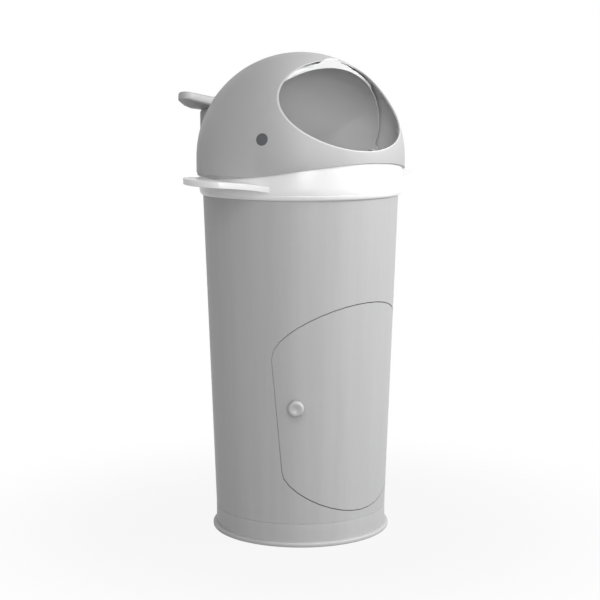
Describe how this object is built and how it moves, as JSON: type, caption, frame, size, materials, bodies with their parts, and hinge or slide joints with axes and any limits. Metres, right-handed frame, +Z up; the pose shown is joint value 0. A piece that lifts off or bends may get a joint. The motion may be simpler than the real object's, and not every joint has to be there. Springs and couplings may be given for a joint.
{
  "type": "nappy bin",
  "caption": "Tapered floor-standing nappy bin with a side door and a lift-off domed whale head, whose round mouth is closed by a turning shell with a tail lever.",
  "frame": {"origin": "centre of the round foot on the floor", "axes": "+Z up along the body's axis, -Y towards the whale's front, +X to the right of someone who faces the whale"},
  "size_m": [0.38, 0.3654, 0.6488],
  "materials": {
    "grey_steel": "matt light grey powder coat",
    "rolled_steel": "matt light grey powder coat on a rolled hem",
    "grey_foot": "matt grey moulded plastic",
    "zinc_steel": "bright zinc plate",
    "grey_knob": "satin grey moulded plastic",
    "grey_plastic": "matt grey moulded plastic",
    "white_plastic": "satin white moulded plastic",
    "dark_plastic": "matt dark grey moulded plastic",
    "magnet_black": "matt black ferrite",
    "soft_seal": "soft grey seal strip"
  },
  "bodies": {
    "bin": {"body_shell": "grey_steel", "top_rim": "rolled_steel", "plinth_band": "grey_steel", "foot_ring": "grey_foot", "floor_plate": "grey_steel", "door_frame": "grey_steel", "body_hinge_leaves": "zinc_steel", "body_hinge_rivets": "zinc_steel", "hinge_pins": "zinc_steel", "magnet_catch": "white_plastic", "catch_magnet": "magnet_black", "catch_screws": "zinc_steel"},
    "door": {"door_panel": "grey_steel", "door_hinge_leaves": "zinc_steel", "door_hinge_rivets": "zinc_steel", "knob": "grey_knob", "knob_washer": "zinc_steel", "knob_screw": "zinc_steel", "strike_plate": "zinc_steel"},
    "head": {"collar": "white_plastic", "seal_ring": "soft_seal", "left_flipper": "white_plastic", "right_flipper": "white_plastic", "dome": "grey_plastic", "dome_screws": "zinc_steel", "left_eye": "dark_plastic", "right_eye": "dark_plastic", "pivot_pins": "zinc_steel"},
    "shutter": {"shutter_shell": "grey_plastic", "shutter_pull": "white_plastic", "pivot_bushes": "white_plastic", "tail_stem": "grey_plastic", "tail_fluke": "grey_plastic", "tail_screws": "zinc_steel"}
  },
  "joints": [
    {"name": "door_swing", "type": "hinge", "parent": "bin", "child": "door", "pos_m": [0.10464, -0.05933, 0.122], "axis": [0.0695, 0.0556, 0.996], "range_deg": [0, 110]},
    {"name": "head_lift", "type": "slide", "parent": "bin", "child": "head", "axis": [0, 0, 1], "range_m": [0, 0.13]},
    {"name": "shutter_turn", "type": "hinge", "parent": "head", "child": "shutter", "pos_m": [0, 0, 0.50835], "axis": [1, 0, 0], "range_deg": [0, 56.5]}
  ]
}
